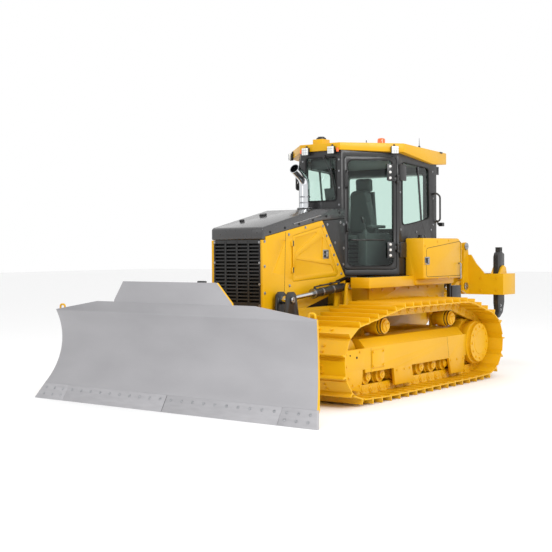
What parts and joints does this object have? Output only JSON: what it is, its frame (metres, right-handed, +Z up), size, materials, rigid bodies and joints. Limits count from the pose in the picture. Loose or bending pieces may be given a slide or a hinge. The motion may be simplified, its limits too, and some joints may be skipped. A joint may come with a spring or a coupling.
{
  "type": "crawler dozer",
  "caption": "Tracked dozer with a power-angle-tilt blade on a lifting push frame, a six-sided glazed cab with doors, and a lifting three-shank rear ripper.",
  "frame": {"origin": "on the ground, midway between the blade's tip and the back of the ripper beam, on the machine's middle plane", "axes": "+X forward towards the blade, +Y to the machine's left, +Z up"},
  "size_m": [6.4, 3.97, 3.11],
  "materials": {
    "yellow": "machine yellow enamel, satin",
    "black": "black semi-gloss enamel",
    "track_steel": "dark satin paint on forged steel",
    "bare_steel": "bare ground steel",
    "chrome": "hard chrome",
    "glass": "green tinted safety glass",
    "plastic": "textured black",
    "vinyl": "black seat covering",
    "amber": "amber lens",
    "lamp": "clear lens",
    "cast": "dark grey casting"
  },
  "bodies": {
    "chassis": {"main_frame": "yellow", "engine_block": "cast", "radiator_and_fan": "black", "hood_top": "black", "hood_side_panels": "yellow", "cab_skirts": "black", "grille": "black", "exhaust_stack": "chrome", "track_left": "yellow", "track_right": "yellow", "idlers": "yellow", "sprockets": "yellow", "track_rollers": "yellow", "carrier_rollers": "yellow", "track_frame_left": "yellow", "track_frame_right": "yellow", "final_drives": "yellow", "cab_frame": "black", "cab_roof": "yellow", "cab_glass": "glass", "seat": "vinyl", "seat_base": "plastic", "consoles": "plastic", "rear_housing": "yellow", "fenders": "yellow", "cab_mounts": "black", "roof_lamps": "lamp", "beacon": "amber"},
    "engine_door_left": {"engine_door_left": "yellow"},
    "engine_door_right": {"engine_door_right": "yellow"},
    "cab_door_left": {"cab_door_left": "black", "door_glass_left": "glass"},
    "cab_door_right": {"cab_door_right": "black", "door_glass_right": "glass"},
    "push_frame": {"push_frame": "yellow"},
    "blade_yoke": {"blade_yoke": "yellow"},
    "blade": {"blade": "bare_steel", "cutting_edges": "bare_steel"},
    "lift_barrels": {"lift_barrels": "black"},
    "lift_rods": {"lift_rods": "chrome"},
    "angle_barrel_left": {"angle_barrel_left": "black"},
    "angle_barrel_right": {"angle_barrel_right": "black"},
    "angle_rod_left": {"angle_rod_left": "chrome"},
    "angle_rod_right": {"angle_rod_right": "chrome"},
    "tilt_barrel": {"tilt_barrel": "black"},
    "tilt_rod": {"tilt_rod": "chrome"},
    "ripper_links": {"ripper_links": "yellow"},
    "ripper_upper_links": {"ripper_upper_links": "yellow"},
    "ripper_frame": {"ripper_frame": "yellow", "ripper_shanks": "track_steel"},
    "ripper_barrels": {"ripper_barrels": "black"},
    "ripper_rods": {"ripper_rods": "chrome"}
  },
  "joints": [
    {"name": "blade_lift", "type": "hinge", "parent": "chassis", "child": "push_frame", "pos_m": [0.3, 0, 0.42], "axis": [0, 1, 0], "range_deg": [-21, 12]},
    {"name": "blade_angle", "type": "hinge", "parent": "push_frame", "child": "blade_yoke", "pos_m": [2.74, 0, 0.56], "axis": [0, 0, 1], "range_deg": [-25, 25]},
    {"name": "blade_tilt", "type": "hinge", "parent": "blade_yoke", "child": "blade", "pos_m": [2.85, 0, 0.56], "axis": [1, 0, 0], "range_deg": [-6, 6]},
    {"name": "lift_barrel_swing", "type": "hinge", "parent": "chassis", "child": "lift_barrels", "pos_m": [0.524, 0, 1.23], "axis": [0, -1, 0], "range_deg": [-16, 27]},
    {"name": "lift_rod_slide", "type": "slide", "parent": "lift_barrels", "child": "lift_rods", "axis": [0.9957, 0, -0.0922], "range_m": [-0.31, 0.18]},
    {"name": "angle_barrel_left_swing", "type": "hinge", "parent": "push_frame", "child": "angle_barrel_left", "pos_m": [1.3, 0.7, 0.56], "axis": [0, 0, 1], "range_deg": [-2, 2]},
    {"name": "angle_rod_left_slide", "type": "slide", "parent": "angle_barrel_left", "child": "angle_rod_left", "axis": [0.9996, 0.0268, 0], "range_m": [-0.33, 0.33]},
    {"name": "angle_barrel_right_swing", "type": "hinge", "parent": "push_frame", "child": "angle_barrel_right", "pos_m": [1.3, -0.7, 0.56], "axis": [0, 0, 1], "range_deg": [-2, 2]},
    {"name": "angle_rod_right_slide", "type": "slide", "parent": "angle_barrel_right", "child": "angle_rod_right", "axis": [0.9996, -0.0268, 0], "range_m": [-0.33, 0.33]},
    {"name": "tilt_barrel_swing", "type": "hinge", "parent": "blade_yoke", "child": "tilt_barrel", "pos_m": [2.791, 0, 0.93], "axis": [1, 0, 0], "range_deg": [-7, 7]},
    {"name": "tilt_rod_slide", "type": "slide", "parent": "tilt_barrel", "child": "tilt_rod", "axis": [0, 0.9935, -0.1135], "range_m": [-0.05, 0.05]},
    {"name": "ripper_lift", "type": "hinge", "parent": "chassis", "child": "ripper_links", "pos_m": [-1.894, 0, 0.76], "axis": [0, -1, 0], "range_deg": [0, 60]},
    {"name": "ripper_upper_swing", "type": "hinge", "parent": "chassis", "child": "ripper_upper_links", "pos_m": [-1.894, 0, 1.335], "axis": [0, -1, 0], "range_deg": [0, 61]},
    {"name": "ripper_level", "type": "hinge", "parent": "ripper_links", "child": "ripper_frame", "pos_m": [-2.71, 0, 1.14], "axis": [0, -1, 0], "range_deg": [-61, 0]},
    {"name": "ripper_barrel_swing", "type": "hinge", "parent": "chassis", "child": "ripper_barrels", "pos_m": [-1.894, 0, 1.335], "axis": [0, -1, 0], "range_deg": [0, 43]},
    {"name": "ripper_rod_slide", "type": "slide", "parent": "ripper_barrels", "child": "ripper_rods", "axis": [-0.9643, 0, -0.2647], "range_m": [0, 0.5]},
    {"name": "cab_door_left_swing", "type": "hinge", "parent": "chassis", "child": "cab_door_left", "pos_m": [-0.3334, 0.7785, 2.1], "axis": [0, 0, 1], "range_deg": [0, 85]},
    {"name": "cab_door_right_swing", "type": "hinge", "parent": "chassis", "child": "cab_door_right", "pos_m": [-0.3334, -0.7785, 2.1], "axis": [0, 0, -1], "range_deg": [0, 85]},
    {"name": "engine_door_left_swing", "type": "hinge", "parent": "chassis", "child": "engine_door_left", "pos_m": [1.361, 0.38, 1.6], "axis": [0, 0, -1], "range_deg": [0, 105]},
    {"name": "engine_door_right_swing", "type": "hinge", "parent": "chassis", "child": "engine_door_right", "pos_m": [1.361, -0.38, 1.6], "axis": [0, 0, 1], "range_deg": [0, 105]}
  ],
  "couplings": [
    {"joint": "lift_barrel_swing", "follows": "blade_lift", "ratio": -1.205},
    {"joint": "lift_rod_slide", "follows": "blade_lift", "m_per_rad": 0.7905},
    {"joint": "angle_barrel_left_swing", "follows": "blade_angle", "ratio": 0.0242},
    {"joint": "angle_rod_left_slide", "follows": "blade_angle", "m_per_rad": -0.7175},
    {"joint": "angle_barrel_right_swing", "follows": "blade_angle", "ratio": 0.0242},
    {"joint": "angle_rod_right_slide", "follows": "blade_angle", "m_per_rad": 0.7175},
    {"joint": "tilt_barrel_swing", "follows": "blade_tilt", "ratio": 0.943},
    {"joint": "tilt_rod_slide", "follows": "blade_tilt", "m_per_rad": -0.367},
    {"joint": "ripper_upper_swing", "follows": "ripper_lift", "ratio": 1},
    {"joint": "ripper_level", "follows": "ripper_lift", "ratio": -1},
    {"joint": "ripper_barrel_swing", "follows": "ripper_lift", "ratio": 0.688},
    {"joint": "ripper_rod_slide", "follows": "ripper_lift", "m_per_rad": 0.462}
  ]
}
